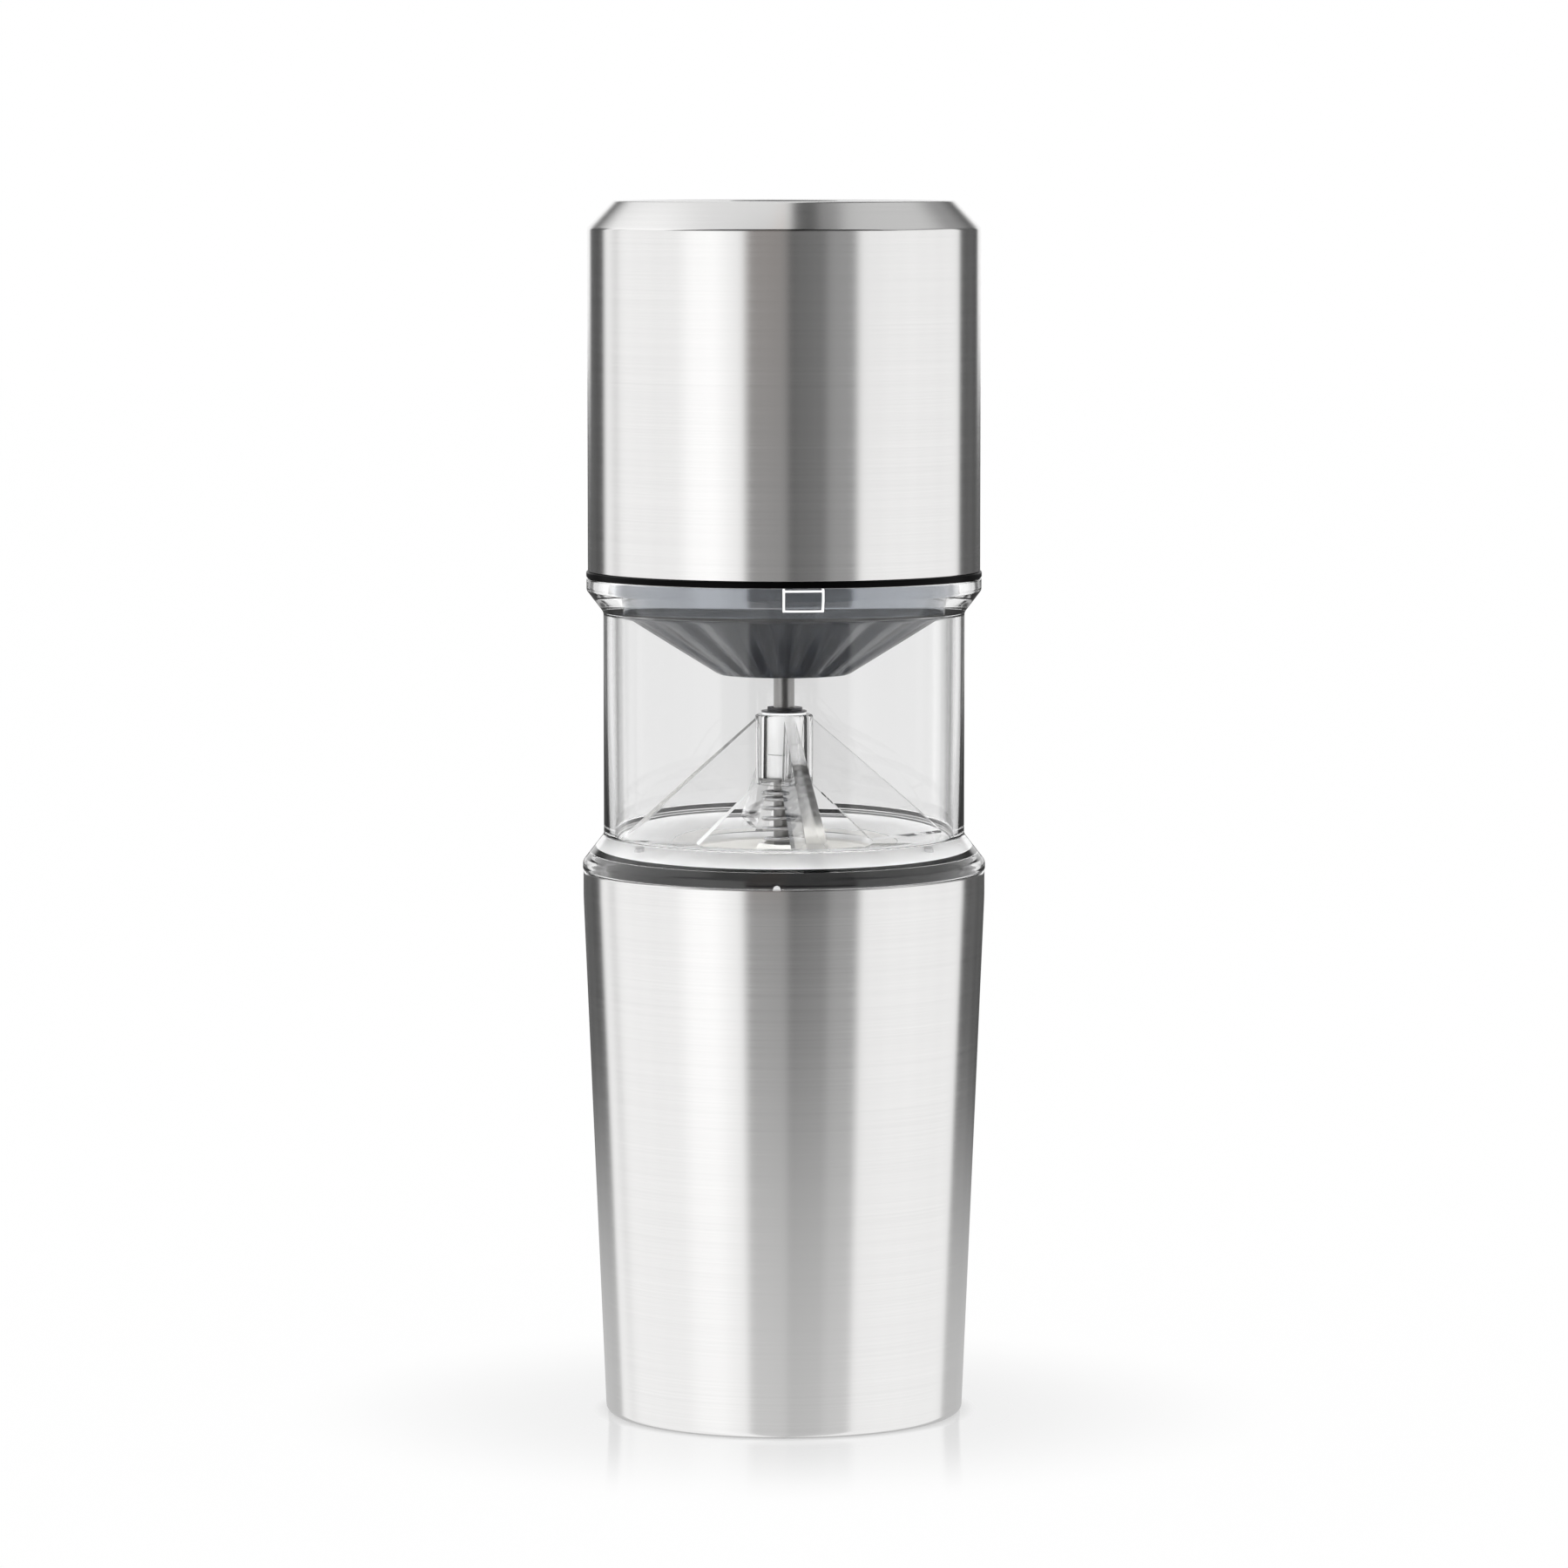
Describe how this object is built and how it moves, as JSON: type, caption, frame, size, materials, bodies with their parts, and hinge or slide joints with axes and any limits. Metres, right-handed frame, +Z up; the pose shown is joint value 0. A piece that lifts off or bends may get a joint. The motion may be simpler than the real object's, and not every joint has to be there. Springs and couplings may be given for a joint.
{
  "type": "battery coffee burr grinder",
  "caption": "Upright battery coffee grinder with a brushed steel motor head and grounds cup, a clear bean hopper, a sprung conical burr set and a planetary drive.",
  "frame": {"origin": "centre of the base, at the plane it stands on", "axes": "+Z up along the shaft, front faces -Y"},
  "size_m": [0.0766, 0.0768, 0.2309],
  "materials": {
    "brushed_steel": "fine circumferential brushing",
    "plain_steel": "satin",
    "laminated_steel": "stacked sheets and lacquered wire",
    "dark_steel": "blackened",
    "plated_steel": "satin plating",
    "spring_steel": "bright drawn wire",
    "nickel": "satin",
    "bronze": "sintered",
    "brass": "machined",
    "clear_plastic": "clear, polished",
    "black_gloss": "glossy black",
    "black_satin": "satin black",
    "dark_polymer": "satin",
    "pale_polymer": "natural white",
    "gear_polymer": "natural polymer",
    "seal_rubber": "matt",
    "white_mark": "white",
    "ceramic": "fine matt ceramic",
    "cell_wrap": "shrink sleeve",
    "board_green": "solder mask"
  },
  "bodies": {
    "cup": {"grounds_cup": "brushed_steel"},
    "hopper": {"bean_hopper": "clear_plastic", "shaft_spider": "clear_plastic", "joint_mark": "white_mark", "head_seal": "seal_rubber", "upper_bush": "dark_polymer", "lower_bush": "dark_polymer", "burr_carrier": "pale_polymer", "plug_ring": "black_gloss", "carrier_screws": "plain_steel", "cup_seal": "seal_rubber", "outer_burr": "ceramic"},
    "rotor": {"drive_shaft": "plain_steel", "shaft_clip": "dark_steel", "thrust_washer": "plain_steel", "burr_spring": "spring_steel"},
    "burr_carriage": {"inner_burr": "ceramic", "detent_plate": "plain_steel"},
    "adjuster": {"adjust_nut": "black_satin"},
    "head": {"motor_base": "black_gloss", "lip_seal": "seal_rubber", "output_bush": "bronze", "gearbox_case": "gear_polymer", "motor_mount": "plain_steel", "motor_can": "plated_steel", "motor_endcap": "black_satin", "motor_screws": "plain_steel", "gearbox_screws": "plain_steel", "battery_frame": "black_satin", "battery_cells": "cell_wrap", "cell_contacts": "nickel", "control_board": "board_green", "board_screws": "plain_steel", "button_switch": "black_satin", "motor_housing": "brushed_steel", "button_bezel": "black_gloss", "charge_socket": "plated_steel", "button_spring": "spring_steel"},
    "gear_carrier": {"output_carrier": "plain_steel"},
    "planet_1": {"planet_gear_1": "gear_polymer"},
    "planet_2": {"planet_gear_2": "gear_polymer"},
    "planet_3": {"planet_gear_3": "gear_polymer"},
    "motor_rotor": {"sun_gear": "brass", "motor_shaft": "plain_steel", "motor_armature": "laminated_steel"},
    "button": {"power_button": "black_satin"},
    "cover": {"port_cover": "seal_rubber"}
  },
  "joints": [
    {"name": "hopper_lift", "type": "slide", "parent": "cup", "child": "hopper", "axis": [0, 0, 1], "range_m": [0, 0.06]},
    {"name": "head_lift", "type": "slide", "parent": "hopper", "child": "head", "axis": [0, 0, 1], "range_m": [0, 0.06]},
    {"name": "burr_spin", "type": "hinge", "parent": "hopper", "child": "rotor", "pos_m": [0, 0, 0.1265], "axis": [0, 0, 1], "continuous": true},
    {"name": "grind_slide", "type": "slide", "parent": "rotor", "child": "burr_carriage", "axis": [0, 0, 1], "range_m": [-0.0004, 0.0004], "deforming": ["burr_spring"]},
    {"name": "nut_turn", "type": "hinge", "parent": "burr_carriage", "child": "adjuster", "pos_m": [0, 0, 0.0906], "axis": [0, 0, 1], "range_deg": [-206, 206]},
    {"name": "gear_spin", "type": "hinge", "parent": "head", "child": "gear_carrier", "pos_m": [0, 0, 0.148], "axis": [0, 0, 1], "continuous": true},
    {"name": "motor_spin", "type": "hinge", "parent": "head", "child": "motor_rotor", "pos_m": [0, 0, 0.18], "axis": [0, 0, 1], "continuous": true},
    {"name": "button_press", "type": "slide", "parent": "head", "child": "button", "axis": [0, 0, -1], "range_m": [0, 0.0008], "stiffness_N_per_m": 900, "deforming": ["button_spring"]},
    {"name": "cover_hinge", "type": "hinge", "parent": "head", "child": "cover", "pos_m": [0, 0.03725, 0.1836], "axis": [-1, 0, 0], "range_deg": [0, 100]},
    {"name": "planet_spin_1", "type": "hinge", "parent": "gear_carrier", "child": "planet_1", "pos_m": [0, 0.009, 0.1567], "axis": [0, 0, 1], "continuous": true},
    {"name": "planet_spin_2", "type": "hinge", "parent": "gear_carrier", "child": "planet_2", "pos_m": [-0.00779, -0.0045, 0.1567], "axis": [0, 0, 1], "continuous": true},
    {"name": "planet_spin_3", "type": "hinge", "parent": "gear_carrier", "child": "planet_3", "pos_m": [0.00779, -0.0045, 0.1567], "axis": [0, 0, 1], "continuous": true}
  ],
  "couplings": [
    {"joint": "nut_turn", "follows": "grind_slide", "rad_per_m": 8976},
    {"joint": "gear_spin", "follows": "motor_spin", "ratio": 0.2},
    {"joint": "burr_spin", "follows": "motor_spin", "ratio": 0.2},
    {"joint": "planet_spin_1", "follows": "motor_spin", "ratio": -0.53333},
    {"joint": "planet_spin_2", "follows": "motor_spin", "ratio": -0.53333},
    {"joint": "planet_spin_3", "follows": "motor_spin", "ratio": -0.53333}
  ]
}
